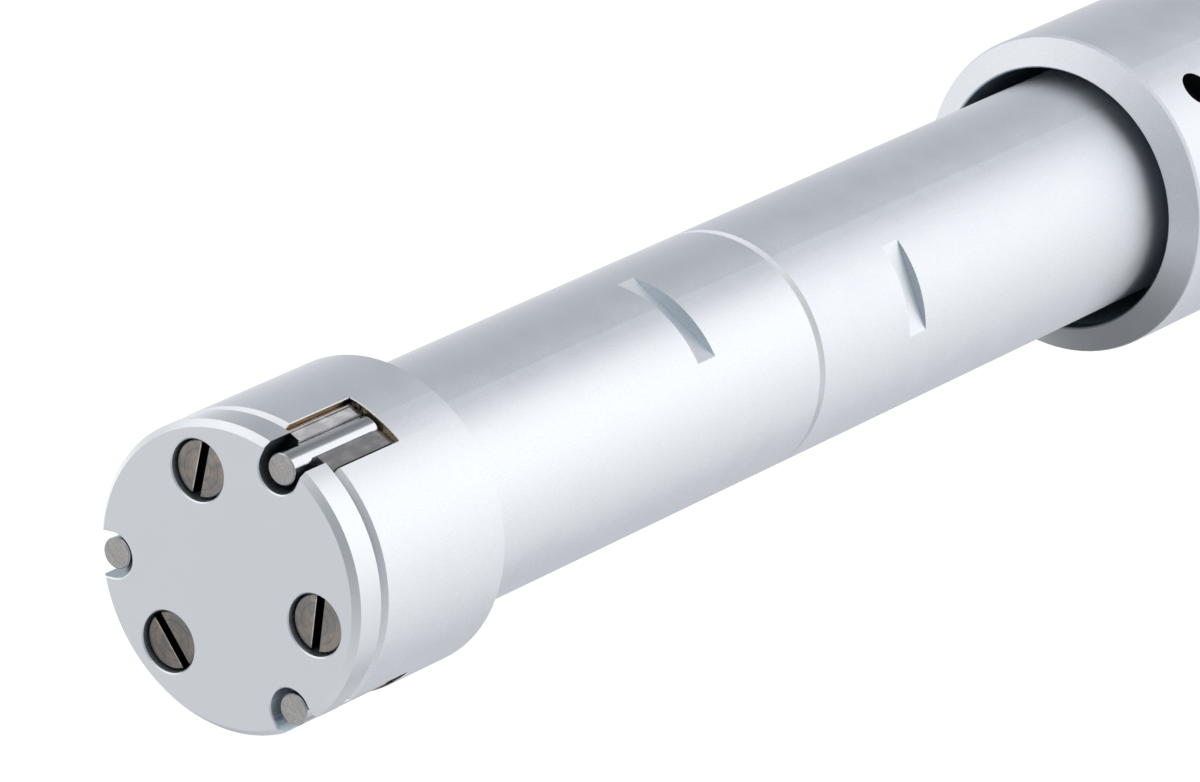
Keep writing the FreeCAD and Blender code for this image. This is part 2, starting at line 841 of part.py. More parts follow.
def make_ratchet_screw():
    """Shoulder screw in the end of the spindle, with a slotted head sunk in the knob."""
    head_front = knob_head_seat + joint_clearance
    head_rear = head_front + ratchet_head_height - joint_clearance
    screw_radius = ratchet_screw_diameter / 2
    shoulder_radius = shoulder_diameter / 2
    head_radius_here = ratchet_head_diameter / 2
    screw = turned([
        (0, wheel_root - ratchet_screw_length),
        (screw_radius, wheel_root - ratchet_screw_length),
        (screw_radius, wheel_root),
        (shoulder_radius, wheel_root),
        (shoulder_radius, head_front),
        (head_radius_here, head_front),
        (head_radius_here, head_rear - screw_edge_break),
        (head_radius_here - screw_edge_break, head_rear),
        (0, head_rear),
    ])
    slot_front = head_rear - ratchet_slot_depth
    slot = block(-ratchet_head_diameter, ratchet_head_diameter, ratchet_slot_width, slot_front, overall_height)
    return screw.cut(slot)


def save(name, shape):
    """Write one sub-part."""
    shape.exportStep("parts/" + name + ".step")


os.makedirs("parts", exist_ok=True)
save("end_plate", make_end_plate())
save("end_plate_screws", make_end_plate_screws())
save("head_body", make_head_body())
blocks = ring_of(make_anvil_block(), anvil_count)
pins = ring_of(make_measuring_pin(), anvil_count)
for number in range(anvil_count):
    save("anvil_block_" + str(number + 1), blocks[number])
    save("measuring_pin_" + str(number + 1), pins[number])
save("measuring_cone", make_measuring_cone())
save("push_rod", make_push_rod())
save("thrust_ball", make_thrust_ball())
save("return_spring", coil(
    return_spring_diameter, return_spring_wire, return_spring_turns, web_rear, flange_front))
save("neck_tube", make_neck_tube())
save("stem_tube", make_stem_tube())
save("stem_bush", make_stem_bush())
save("graduated_sleeve", make_graduated_sleeve())
save("barrel", make_barrel())
save("adjusting_nut", make_adjusting_nut())
save("spindle", make_spindle())
save("spindle_tip", make_spindle_tip())
save("thimble", make_thimble())
save("thimble_nut", make_thimble_nut())
save("ratchet_wheel", make_ratchet_wheel())
save("ratchet_disc", make_ratchet_disc())
save("ratchet_spring", coil(
    ratchet_spring_diameter, ratchet_spring_wire, ratchet_spring_turns, disc_rear, knob_seat))
save("ratchet_knob", make_ratchet_knob())
save("ratchet_screw", make_ratchet_screw())
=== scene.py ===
"""Finishes, graduations, studio and camera for a three-point inside micrometer.

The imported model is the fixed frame. Lengths are in metres where Blender needs them, and sizes that
belong to the instrument are written in millimetres and turned into metres by MM.
"""

from __future__ import annotations

import logging
import math
from dataclasses import dataclass, field
from enum import Enum

import bpy
from mathutils import Matrix, Vector


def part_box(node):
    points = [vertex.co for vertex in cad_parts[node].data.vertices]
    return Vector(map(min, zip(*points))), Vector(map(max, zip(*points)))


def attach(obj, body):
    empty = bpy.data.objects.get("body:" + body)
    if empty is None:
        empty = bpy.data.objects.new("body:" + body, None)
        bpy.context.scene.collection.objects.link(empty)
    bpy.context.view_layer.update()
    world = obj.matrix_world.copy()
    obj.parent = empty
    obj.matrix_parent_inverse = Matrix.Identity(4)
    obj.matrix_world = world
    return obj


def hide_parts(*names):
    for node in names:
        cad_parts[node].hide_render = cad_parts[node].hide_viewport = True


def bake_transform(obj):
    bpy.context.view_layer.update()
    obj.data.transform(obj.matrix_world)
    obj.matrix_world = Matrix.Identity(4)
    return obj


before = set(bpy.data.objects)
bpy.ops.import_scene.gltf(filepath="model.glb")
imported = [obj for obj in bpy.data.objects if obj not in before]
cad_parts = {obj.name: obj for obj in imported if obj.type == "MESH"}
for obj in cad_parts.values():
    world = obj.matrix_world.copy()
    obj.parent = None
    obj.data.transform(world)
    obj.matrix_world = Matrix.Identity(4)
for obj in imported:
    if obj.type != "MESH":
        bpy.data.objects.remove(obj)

MM = 0.001
ANVILS = 3
LOG = logging.getLogger("micrometer")
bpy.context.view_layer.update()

Rgb = tuple[float, float, float]
Stretch = tuple[float, float, float]


class Plan(Enum):
    """Which part of a node has the bare finish instead of its skin."""

    NONE = "none"
    BORE = "bore"
    SLOTS = "slots"
    PLATE = "plate"


class Field:
    """A shader value that takes part in Python expressions."""

    def __init__(self, graph: Graph, socket: bpy.types.NodeSocket) -> None:
        """Keep the socket and the graph that new nodes go into."""
        self.graph = graph
        self.socket = socket

    def _math(self, operation: str, *operands: Field | float) -> Field:
        """Add one Math node.

        Args:
            operation: The node's operation.
            operands: Its inputs in order.

        Returns:
            The node's value.
        """
        node = self.graph.add("ShaderNodeMath", {"operation": operation}, dict(enumerate(operands)))
        return Field(self.graph, node.outputs[0])

    def __add__(self, other: Field | float) -> Field:
        """Sum of two values."""
        return self._math("ADD", self, other)

    __radd__ = __add__

    def __sub__(self, other: Field | float) -> Field:
        """This value less another."""
        return self._math("SUBTRACT", self, other)

    def __rsub__(self, other: Field | float) -> Field:
        """Another value less this one."""
        return self._math("SUBTRACT", other, self)

    def __mul__(self, other: Field | float) -> Field:
        """Product of two values."""
        return self._math("MULTIPLY", self, other)

    __rmul__ = __mul__

    def __truediv__(self, other: Field | float) -> Field:
        """This value over another."""
        return self._math("DIVIDE", self, other)

    def __lt__(self, other: Field | float) -> Field:
        """One where this value is the smaller."""
        return self._math("LESS_THAN", self, other)

    def __gt__(self, other: Field | float) -> Field:
        """One where this value is the larger."""
        return self._math("GREATER_THAN", self, other)

    def apply(self, operation: str, *others: Field | float) -> Field:
        """Any other Math operation on this value, such as SINE or ARCTAN2."""
        return self._math(operation, self, *others)

    def ramp(self, low: float, high: float) -> Field:
        """Smooth step of this value from 0 at low to 1 at high."""
        node = self.graph.add(
            "ShaderNodeMapRange", {"interpolation_type": "SMOOTHSTEP"}, {0: self, 1: low, 2: high})
        return Field(self.graph, node.outputs[0])


Value = Field | bpy.types.NodeSocket | float | tuple


class Graph:
    """Node tree of one material or of the world."""

    def __init__(self, tree: bpy.types.NodeTree) -> None:
        """Empty the tree and keep it."""
        self.tree = tree
        tree.nodes.clear()

    def add(self, kind: str, settings: dict | None = None, values: dict | None = None) -> bpy.types.Node:
        """Add one node.

        Args:
            kind: Blender's name for the node type.
            settings: Properties that are set first, or a ramp's (place, level) pairs under "stops".
            values: What goes into each input, by name or number: a number, a colour or a link.

        Returns:
            The new node.
        """
        node = self.tree.nodes.new(kind)
        for name, value in (settings or {}).items():
            if name == "stops":
                self._set_stops(node, value)
            else:
                setattr(node, name, value)
        for name, value in (values or {}).items():
            if isinstance(value, Field):
                self.tree.links.new(value.socket, node.inputs[name])
            elif isinstance(value, bpy.types.NodeSocket):
                self.tree.links.new(value, node.inputs[name])
            else:
                node.inputs[name].default_value = value
        return node

    def _set_stops(self, node: bpy.types.Node, stops: list[tuple[float, float]]) -> None:
        """Give a colour ramp its grey stops.

        Args:
            node: The ramp's node.
            stops: Places from 0 to 1 with their levels.
        """
        ramp = node.color_ramp
        ramp.interpolation = "CARDINAL"
        while len(ramp.elements) < len(stops):
            ramp.elements.new(1.0)
        for element, (place, level) in zip(ramp.elements, stops):
            element.position = place
            element.color = (level, level, level, 1.0)

    def mix(self, factor: Value, first: Value, second: Value) -> bpy.types.NodeSocket:
        """Mix two colours.

        Args:
            factor: Share of the second.
            first: Colour at a factor of 0.
            second: Colour at a factor of 1.

        Returns:
            The mixed colour.
        """
        node = self.add("ShaderNodeMix", {"data_type": "RGBA"}, {0: factor})
        for index, value in ((6, first), (7, second)):
            if isinstance(value, bpy.types.NodeSocket):
                self.tree.links.new(value, node.inputs[index])
            else:
                node.inputs[index].default_value = (*value, 1.0)
        return node.outputs[2]

    def noise(self, vector: Value, size: float, detail: float = 2.0, stretch: Stretch = (1, 1, 1)) -> Field:
        """Noise between 0 and 1.

        Args:
            vector: Place in millimetres.
            size: Size of one blotch in millimetres.
            detail: Octaves of finer noise.
            stretch: How much longer the blotches are along each axis.

        Returns:
            The noise.
        """
        shrink = tuple(1 / (size * factor) for factor in stretch)
        scaled = self.add("ShaderNodeVectorMath", {"operation": "MULTIPLY"}, {0: vector, 1: shrink})
        node = self.add(
            "ShaderNodeTexNoise", {}, {"Vector": scaled.outputs[0], "Scale": 1.0, "Detail": detail})
        return Field(self, node.outputs["Fac"])


class Place:
    """Where a shaded point lies on the instrument, in millimetres."""

    def __init__(self, graph: Graph) -> None:
        """Read object coordinates, which are the instrument's own frame."""
        self.graph = graph
        coordinates = graph.add("ShaderNodeTexCoord").outputs["Object"]
        scaled = graph.add("ShaderNodeVectorMath", {"operation": "SCALE"}, {0: coordinates, "Scale": 1 / MM})
        self.vector = scaled.outputs[0]
        parts = graph.add("ShaderNodeSeparateXYZ", {}, {0: self.vector})
        self.x = Field(graph, parts.outputs[0])
        self.y = Field(graph, parts.outputs[1])
        self.z = Field(graph, parts.outputs[2])
        self.radius = (self.x * self.x + self.y * self.y).apply("SQRT")
        self.depth = TOP / MM - self.z

    def folded(self, offset: float) -> tuple[Field, Field]:
        """Cross coordinates folded onto the first of three equal sectors.

        Args:
            offset: Angle in degrees of the sector's middle line.

        Returns:
            Distance along the middle line and across it.
        """
        sector = 2 * math.pi / ANVILS
        angle = self.y.apply("ARCTAN2", self.x) - math.radians(offset)
        turn = (angle / sector + 0.5).apply("FRACT")
        angle = (turn - 0.5) * sector
        return self.radius * angle.apply("COSINE"), self.radius * angle.apply("SINE")

    def turned(self, degrees: float) -> bpy.types.NodeSocket:
        """Turn the place so that its second axis lies along an azimuth, for marks that run that way.

        Args:
            degrees: The azimuth.

        Returns:
            The turned place in millimetres.
        """
        cosine = math.cos(math.radians(degrees))
        sine = math.sin(math.radians(degrees))
        across = self.x * sine - self.y * cosine
        along = self.x * cosine + self.y * sine
        return self.graph.add("ShaderNodeCombineXYZ", {}, {0: across, 1: along, 2: self.z}).outputs[0]


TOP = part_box("end_plate")[1].z
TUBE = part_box("neck_tube")[1].x / MM
HEAD_SKIN = 9.71
HEAD_BORE = 8.9
SLOT_HALF_WIDTH = 2.07
SLOT_END = 8.7
PLATE_CORNER = 9.31
PLATE_BREAK = 0.085


@dataclass(frozen=True)
class Finish:
    """A metal surface as a hand lens shows it.

    The grain is the pearl of a blasted or plated skin, the lay is the line that a cutter, a grinding
    wheel or a draw plate leaves, and the bare colour shows where the skin ends.
    """

    name: str
    colour: Rgb
    roughness: float
    grain: float = 0.09
    grain_height: float = 0.0014
    sparkle: float = 0.11
    mottle: float = 0.03
    lay: Stretch = (1.0, 1.0, 1.0)
    rings: float = 0.0
    stain: Rgb | None = None
    # In bores, notches and the walls of flats the bare colour is darker than the skin, as painted shade.
    bare: Rgb = (0.05, 0.06, 0.07)
    bare_roughness: float = 0.45
    bare_streaks: float = 0.15
    plan: Plan = Plan.NONE
    bore: float = 0.0
    metal: float = 1.0
    drift_size: float = 2.4
    stain_size: float = 0.7
    streak_size: float = 0.16
    streak_length: float = 9.0
    drift_rough: float = 0.3
    grain_rough: float = 0.2
    ring_light: float = 0.04

    def material(self) -> bpy.types.Material:
        """Build the finish as a material.

        Returns:
            The new material.
        """
        made = bpy.data.materials.new(self.name)
        made.use_nodes = True
        graph = Graph(made.node_tree)
        place = Place(graph)
        grain = graph.noise(place.vector, self.grain, 1.0, self.lay)
        drift = graph.noise(place.vector, self.drift_size, 3.0, self.lay)
        level = 1 + (grain - 0.5) * (2 * self.sparkle) + (drift - 0.5) * (2 * self.mottle)
        rough = self.roughness * (1 + (drift - 0.5) * self.drift_rough + (grain - 0.5) * self.grain_rough)
        height, level = self._marked(graph, place, grain, level)
        skin = self._tinted(graph, level, self.colour)
        if self.stain is not None:
            stained = graph.noise(place.vector, self.stain_size, 3.0).ramp(0.42, 0.60)
            skin = graph.mix(stained, skin, self._tinted(graph, level, self.stain))
        bare = self._bare_mask(place)
        if bare is not None:
            streaks = graph.noise(place.vector, self.streak_size, 2.0, (1.0, 1.0, self.streak_length))
            bare_level = level + (streaks - 0.5) * (4 * self.bare_streaks)
            skin = graph.mix(bare, skin, self._tinted(graph, bare_level, self.bare))
            rough = rough * (1 - bare) + self.bare_roughness * bare
        bump = graph.add(
            "ShaderNodeBump", {}, {"Height": height, "Strength": 1.0, "Distance": self.grain_height * MM})
        shader = graph.add("ShaderNodeBsdfPrincipled", {}, {
            "Base Color": skin,
            "Roughness": rough,
            "Metallic": self.metal,
            "Normal": bump.outputs[0],
        })
        graph.add("ShaderNodeOutputMaterial", {}, {0: shader.outputs[0]})
        return made

    def _tinted(self, graph: Graph, level: Field, colour: Rgb) -> bpy.types.NodeSocket:
        """Make the colour lighter and darker with the level.

        Args:
            graph: The material's graph.
            level: Brightness about 1.
            colour: The plain colour.

        Returns:
            The tinted colour.
        """
        grey = graph.add("ShaderNodeCombineColor", {}, {0: level, 1: level, 2: level})
        node = graph.add("ShaderNodeVectorMath", {"operation": "MULTIPLY"}, {0: grey.outputs[0], 1: colour})
        return node.outputs[0]

    def _marked(self, graph: Graph, place: Place, height: Field, level: Field) -> tuple[Field, Field]:
        """Add the tool's marks: rings about the instrument's axis, where the node was turned.

        Args:
            graph: The material's graph.
            place: The shaded point.
            height: Height of the grain.
            level: Brightness with the grain in it.

        Returns:
            Height and level with the marks.
        """
        if not self.rings:
            return height, level
        marks = (place.radius * (2 * math.pi / self.rings)).apply("SINE") * 0.5 + 0.5
        return height * 0.5 + marks * 0.5, level + (marks - 0.5) * self.ring_light

    def _bare_mask(self, place: Place) -> Field | None:
        """Find where the surface lies inside a slot, notch or bore rather than on the skin.

        Args:
            place: The shaded point.

        Returns:
            One on the bare part, or None where the whole node has its skin.
        """
        if self.plan is Plan.BORE:
            return place.radius < self.bore
        if self.plan is Plan.SLOTS:
            along, across = place.folded(0.0)
            in_slot = (across.apply("ABSOLUTE") < SLOT_HALF_WIDTH) * (place.depth < SLOT_END) * (along > 0.0)
            return (place.radius < HEAD_BORE).apply("MAXIMUM", in_slot * (place.radius < HEAD_SKIN))
        if self.plan is Plan.PLATE:
            inside = (place.radius - place.depth < PLATE_CORNER) * (place.radius < HEAD_SKIN)
            return inside * (place.depth > PLATE_BREAK)
        return None


@dataclass(frozen=True)
class TubeFinish(Finish):
    """Pearl chrome of a tube, painted shade on the end wall of its spanner flats and a painted highlight on
    its seam edge.
    """

    wall: float = 0.0
    wall_reach: float = 0.04
    wall_below_skin: float = 0.03
    seam: float = 49.8
    seam_edge: float = 0.3
    seam_below_skin: float = 0.02
    worn: float = 0.30
    worn_side: tuple[float, float] = (0.70, 0.92)
    dull: float = 0.13
    under_side: tuple[float, float] = (-0.95, -0.60)
    toward: tuple[float, float] = (0.766, -0.643)

    def _marked(self, graph: Graph, place: Place, height: Field, level: Field) -> tuple[Field, Field]:
        """Painted highlight along the seam on one side, and painted shade underneath.

        Args:
            graph: The material's graph.
            place: The shaded point.
            height: Height of the grain.
            level: Brightness with the grain in it.

        Returns:
            Height and level with the marks.
        """
        # Painted highlight along the seam edge where it faces one direction, and painted shade on its lower
        # side.
        below_skin = place.radius < TUBE - self.seam_below_skin
        edge = ((place.depth - self.seam).apply("ABSOLUTE") < self.seam_edge) * below_skin
        facing = (place.x * self.toward[0] + place.y * self.toward[1]) / TUBE
        shaded_below = 1 - (place.y / TUBE).ramp(*self.under_side)
        return height, level + edge * (facing.ramp(*self.worn_side) * self.worn - shaded_below * self.dull)

    def _bare_mask(self, place: Place) -> Field | None:
        """One on the wall that a spanner flat ends at."""
        at_wall = (place.depth - self.wall).apply("ABSOLUTE") < self.wall_reach
        return at_wall * (place.radius < TUBE - self.wall_below_skin)


@dataclass(frozen=True)
class SleeveFinish(Finish):
    """Pearl chrome of the graduated sleeve: bore, spanner hole and the lower part of the front ring in
    painted shade.
    """

    front: float = 87.8
    bevel: float = 1.1
    skin: float = 10.79
    hole_past_bevel: float = 0.2
    hole_black: float = 0.93
    ring_edge: float = 0.05
    ring_dark: float = 0.65
    ring_side: tuple[float, float] = (0.50, 1.03)
    below: tuple[float, float] = (-0.574, -0.819)

    def _marked(self, graph: Graph, place: Place, height: Field, level: Field) -> tuple[Field, Field]:
        """Painted shade inside the spanner hole and on the lower part of the front ring.

        Args:
            graph: The material's graph.
            place: The shaded point.
            height: Height of the grain.
            level: Brightness with the grain in it.

        Returns:
            Height and level with the marks.
        """
        bevel_end = self.front + self.bevel
        behind = place.depth > bevel_end + self.hole_past_bevel
        hole = (place.radius < self.skin) * (place.radius > self.bore) * behind
        # Painted shade: the spanner hole nearly black, and the lower part of the front ring darker.
        facing = (place.x * self.below[0] + place.y * self.below[1]) / place.radius
        ring = 1 - place.depth.ramp(bevel_end - self.ring_edge, bevel_end + self.ring_edge)
        dark = ring * facing.ramp(*self.ring_side) * self.ring_dark
        return height, level * (1 - hole * self.hole_black) * (1 - dark)


@dataclass(frozen=True)
class PlateFinish(Finish):
    """Lapped end plate, its notch walls in painted shade, deepest in the first notch."""

    first: float = 5.0
    thickness: float = 2.3
    shade: float = 0.25
    deeper: float = 0.65

    def _marked(self, graph: Graph, place: Place, height: Field, level: Field) -> tuple[Field, Field]:
        """Painted shade, deeper towards the bottom of the first notch.

        Args:
            graph: The material's graph.
            place: The shaded point.
            height: Height of the grain.
            level: Brightness with the grain in it.

        Returns:
            Height and level with the marks.
        """
        # Painted shade in the first notch, deeper towards its bottom.
        inside = self._bare_mask(place) * (place.x > self.first)
        shade = self.shade + place.depth.ramp(0.0, self.thickness) * self.deeper
        return height, level * (1 - inside * shade)


@dataclass(frozen=True)
class SlotFinish(Finish):
    """Pearl chrome with straw-coloured slots, with painted shade along their rims and in one far corner."""

    rim: float = 9.58
    rim_width: float = 0.10
    rim_dark: float = 0.55
    corner: tuple[float, float] = (7.4, -0.6)
    corner_size: tuple[float, float] = (1.0, 2.0)
    corner_dark: float = 0.90
    first: float = 5.0
    others_dark: float = 0.75

    def _marked(self, graph: Graph, place: Place, height: Field, level: Field) -> tuple[Field, Field]:
        """Painted shade inside the slots towards the rim and the corner, and in all but the first of them.

        Args:
            graph: The material's graph.
            place: The shaded point.
            height: Height of the grain.
            level: Brightness with the grain in it.

        Returns:
            Height and level with the marks.
        """
        _, across = place.folded(0.0)
        inside = self._bare_mask(place)
        # Painted shade inside the slots: towards the rim, in the far corner and in the second and third slot.
        rim = place.radius.ramp(self.rim, self.rim + self.rim_width) * self.rim_dark
        (deep, aside), (depth_size, across_size) = self.corner, self.corner_size
        corner = place.depth.ramp(deep, deep + depth_size) * across.ramp(aside, aside + across_size)
        corner = corner * self.corner_dark
        others = (place.x < self.first) * self.others_dark
        return height, level * (1 - rim.apply("MAXIMUM", corner).apply("MAXIMUM", others) * inside)


@dataclass(frozen=True)
class BlockFinish(Finish):
    """Ground block, scratched along its length, with painted light on one shoulder and painted shade on the
    other.
    """

    scratch: float = 0.045
    scratch_length: float = 40.0
    spot: float = 0.45
    spot_length: float = 2.5
    scratch_light: float = 0.20
    scratch_height: float = 0.8
    spot_light: float = 0.34
    ground: float = 0.84
    bright_from: tuple[float, float] = (0.35, 0.45)
    dull: float = 0.46
    top: float = 9.4
    front: float = 2.36
    front_dark: tuple[float, float] = (0.50, 0.44)
    rear: tuple[float, float] = (6.6, 8.4)
    rear_dark: float = 0.12
    groove: float = 1.42
    groove_dark: float = 0.60
    edge: float = 1.56
    edge_bright: float = 0.60
    line: float = 0.12
    soft: float = 0.03

    def _marked(self, graph: Graph, place: Place, height: Field, level: Field) -> tuple[Field, Field]:
        """Scratches and worn spots, with painted shade on one shoulder, a painted highlight along the edge
        beside a painted shade line, and painted shade at the rear and the front end.

        Args:
            graph: The material's graph.
            place: The shaded point.
            height: Height of the grain.
            level: Brightness with the grain in it.

        Returns:
            Height and level with the marks.
        """
        along, across = place.folded(0.0)
        scratches = graph.noise(place.vector, self.scratch, 1.0, (1.0, 1.0, self.scratch_length))
        scratches = scratches.ramp(0.60, 0.80)
        spots = graph.noise(place.vector, self.spot, 2.0, (1.0, 1.0, self.spot_length)).ramp(0.35, 0.75)
        # Painted light and shade: one shoulder lit and the other shaded, shade towards the rear and on the
        # front end, a highlight along the edge and a dark line beside it.
        lit_shoulder = across.ramp(*self.bright_from)
        shade = place.depth.ramp(*self.rear) * lit_shoulder * self.rear_dark
        edge = self._strip(across, self.edge, self.edge + self.line) * self.edge_bright
        groove = self._strip(across, self.groove, self.edge - self.soft) * self.groove_dark
        on_top = (along > self.top) * (place.depth > self.front)
        side = self.dull + lit_shoulder * (1 - self.dull)
        wear = self.ground + spots * self.spot_light + scratches * self.scratch_light
        worn = side * wear - shade + (edge - groove) * on_top
        end = (place.depth < self.front) * (self.front_dark[0] + self.front_dark[1] * lit_shoulder)
        return height + scratches * self.scratch_height, level * worn * (1 - end)

    def _strip(self, across: Field, low: float, high: float) -> Field:
        """One between two distances across the block, with soft edges."""
        return across.ramp(low, low + self.soft) * (1 - across.ramp(high, high + self.soft))


@dataclass(frozen=True)
class ScrewFinish(Finish):
    """Blackened screw steel, turned across the head and worn bright on its top, with painted light growing
    towards one side and a painted highlight along each slot's edge.
    """

    offset: float = 45.4
    circle: float = 6.69
    top: float = 0.4
    edge: float = 0.06
    toward: tuple[float, float] = (0.966, -0.259)
    slots: tuple[float, ...] = (14.4, 64.4, 19.4)
    slot_edge: tuple[float, float] = (0.30, 0.37)
    slot_reach: float = 1.5
    burnish: float = 1.1
    coarser: float = 4.3
    scratch: float = 0.05
    scratch_length: float = 9.0
    scratch_light: float = 0.18
    turned_light: float = 0.12
    coarse_dark: float = 0.20
    slope: float = 0.025

    def _marked(self, graph: Graph, place: Place, height: Field, level: Field) -> tuple[Field, Field]:
        """Turning marks about each screw's own axis, scratches across them, a painted highlight along the
        slot's edge, and painted light that grows towards one side.

        Args:
            graph: The material's graph.
            place: The shaded point.
            height: Height of the grain.
            level: Brightness with the grain in it.

        Returns:
            Height and level with the marks.
        """
        along, across = place.folded(self.offset)
        centred = along - self.circle
        distance = (centred * centred + across * across).apply("SQRT")
        marks = (distance * (2 * math.pi / self.rings)).apply("SINE") * 0.5 + 0.5
        coarse = (distance * (2 * math.pi / (self.coarser * self.rings))).apply("SINE").ramp(0.80, 1.0)
        scratches = graph.noise(place.turned(GRINDING), self.scratch, 1.0, (1.0, self.scratch_length, 1.0))
        scratches = scratches.ramp(0.55, 0.80)
        # Painted light: the screws grow brighter towards one side of the plate.
        lit = 1 + (place.x * self.toward[0] + place.y * self.toward[1]) * self.slope
        level = level + (marks - 0.5) * self.turned_light - coarse * self.coarse_dark
        level = level + scratches * self.scratch_light
        # Painted highlight along one edge of each slot.
        for index, degrees in enumerate(self.slots):
            level = level + self._slot_edge(place, index, math.radians(degrees)) * self.burnish
        return height * 0.4 + marks * 0.6, level * lit

    def _slot_edge(self, place: Place, index: int, angle: float) -> Field:
        """One along the painted highlight at the edge of one screw's slot.

        Args:
            place: The shaded point.
            index: Number of the screw.
            angle: Direction of its slot in radians.

        Returns:
            The mask.
        """
        round_about = math.radians(self.offset + index * 360.0 / ANVILS)
        x = place.x - self.circle * math.cos(round_about)
        y = place.y - self.circle * math.sin(round_about)
        beside = y * math.cos(angle) - x * math.sin(angle)
        along = (x * math.cos(angle) + y * math.sin(angle)).apply("ABSOLUTE")
        low, high = self.slot_edge
        return (beside > low) * (beside < high) * (along < self.slot_reach)

    def _bare_mask(self, place: Place) -> Field | None:
        """One below the screw's top, where slot and flank stay black."""
        return place.depth > self.top + self.edge


@dataclass(frozen=True)
class PinFinish(Finish):
    """Hard metal, lapped along the flank with a painted highlight and a painted shade band on it, and ground
    dull on the front end.
    """

    end: float = 0.4
    centre: float = 8.6
    pale: tuple[float, float] = (-0.35, -0.21)
    pale_bright: float = 0.30
    dark: tuple[float, float] = (-0.33, -0.19)
    dark_end: tuple[float, float] = (0.0, 0.35)
    dark_deep: float = 0.36
    grind: float = 0.06
    grind_length: float = 12.0
    grind_depth: float = 0.7

    def _marked(self, graph: Graph, place: Place, height: Field, level: Field) -> tuple[Field, Field]:
        """A painted highlight and a painted shade band along the flank, and grinding marks on the end.

        Args:
            graph: The material's graph.
            place: The shaded point.
            height: Height of the grain.
            level: Brightness with the grain in it.

        Returns:
            Height and level with the marks.
        """
        along, across = place.folded(0.0)
        angle = across.apply("ARCTAN2", along - self.centre)
        # Painted highlight and painted shade along the flank, as bands at given angles round the pin.
        pale = (1 - angle.ramp(*self.pale)) * self.pale_bright
        dark = angle.ramp(*self.dark) * (1 - angle.ramp(*self.dark_end)) * self.dark_deep
        ground = graph.noise(place.turned(GRINDING), self.grind, 2.0, (1.0, self.grind_length, 1.0)) - 0.5
        flank = place.depth > self.end
        return height, level + (pale - dark) * flank + ground * self.grind_depth * (1 - flank)

    def _bare_mask(self, place: Place) -> Field | None:
        """One on the ground front end."""
        return place.depth < self.end


@dataclass(frozen=True)
class RoundFace:
    """A turned cylinder or cone that flat artwork is wrapped onto, in millimetres.

    Flat artwork has x along the depth, y round the face and z outwards.
    """

    front: float
    rear: float
    front_radius: float
    rear_radius: float

    def wrap(self, flat: Vector) -> Vector:
        """Place of one flat point on the face.

        Args:
            flat: The point in millimetres.

        Returns:
            The point on the instrument in metres.
        """
        share = (flat.x - self.front) / (self.rear - self.front)
        radius = self.front_radius + share * (self.rear_radius - self.front_radius)
        angle = 2 * flat.y / (self.front_radius + self.rear_radius)
        outer = radius + flat.z
        return Vector((outer * math.cos(angle), outer * math.sin(angle), TOP / MM - flat.x)) * MM


@dataclass
class Scale:
    """Blackened lines and numerals on one round face, laid out flat and then wrapped on as one piece."""

    name: str
    body: str
    face: RoundFace
    line_width: float = 0.11
    thickness: float = 0.03
    proud: float = 0.014
    facet: float = 0.4
    column: float = 4.0
    flat: list[bpy.types.Object] = field(default_factory=list)

    def across(self, degrees: float) -> float:
        """Distance round the face that an angle takes."""
        return math.radians(degrees) * (self.face.front_radius + self.face.rear_radius) / 2

    def line(self, low: tuple[float, float], high: tuple[float, float]) -> None:
        """Lay one line.

        Args:
            low: Its corner of least depth and least distance round the face.
            high: Its opposite corner.
        """
        rows = max(1, round((high[1] - low[1]) / self.facet))
        columns = max(1, round((high[0] - low[0]) / self.column))
        bpy.ops.object.select_all(action="DESELECT")
        bpy.ops.mesh.primitive_grid_add(x_subdivisions=columns, y_subdivisions=rows, size=1.0)
        made = bpy.context.object
        for vertex in made.data.vertices:
            share_x = vertex.co.x + 0.5
            share_y = vertex.co.y + 0.5
            vertex.co = Vector((
                low[0] + share_x * (high[0] - low[0]), low[1] + share_y * (high[1] - low[1]), 0.0))
        self.flat.append(made)

    def number(self, value: int, depth: float, across: float, size: float) -> None:
        """Lay one numeral, upright when the head is at the reader's left.

        Args:
            value: The number.
            depth: Depth of its middle.
            across: Distance round the face of its middle.
            size: Height of the letters' body.
        """
        bpy.ops.object.select_all(action="DESELECT")
        bpy.ops.object.text_add()
        made = bpy.context.object
        made.data.body = str(value)
        made.data.size = size
        made.data.align_x = "CENTER"
        made.data.align_y = "CENTER"
        made.data.resolution_u = 3
        bpy.ops.object.convert(target="MESH")
        made = bpy.context.object
        for vertex in made.data.vertices:
            vertex.co = vertex.co + Vector((depth, across, 0.0))
        self.flat.append(made)

    def wrap(self, paint: bpy.types.Material) -> bpy.types.Object:
        """Join what was laid out, thicken it and wrap it onto the face.

        Args:
            paint: The material of the marks.

        Returns:
            The finished piece.
        """
        bpy.ops.object.select_all(action="DESELECT")
        for made in self.flat:
            made.select_set(True)
        bpy.context.view_layer.objects.active = self.flat[0]
        bpy.ops.object.join()
        piece = bpy.context.object
        bpy.ops.object.modifier_add(type="SOLIDIFY")
        piece.modifiers[0].thickness = self.thickness
        piece.modifiers[0].offset = 0.0
        bpy.ops.object.modifier_apply(modifier=piece.modifiers[0].name)
        for vertex in piece.data.vertices:
            lifted = vertex.co + Vector((0.0, 0.0, self.proud - self.thickness / 2))
            vertex.co = self.face.wrap(lifted)
        bpy.ops.object.mode_set(mode="EDIT")
        bpy.ops.mesh.select_all(action="SELECT")
        bpy.ops.mesh.normals_make_consistent(inside=False)
        bpy.ops.object.mode_set(mode="OBJECT")
        piece.name = self.name
        piece.data.materials.clear()
        piece.data.materials.append(paint)
        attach(piece, self.body)
        LOG.info("scale: %s, %d faces", self.name, len(piece.data.polygons))
        return piece


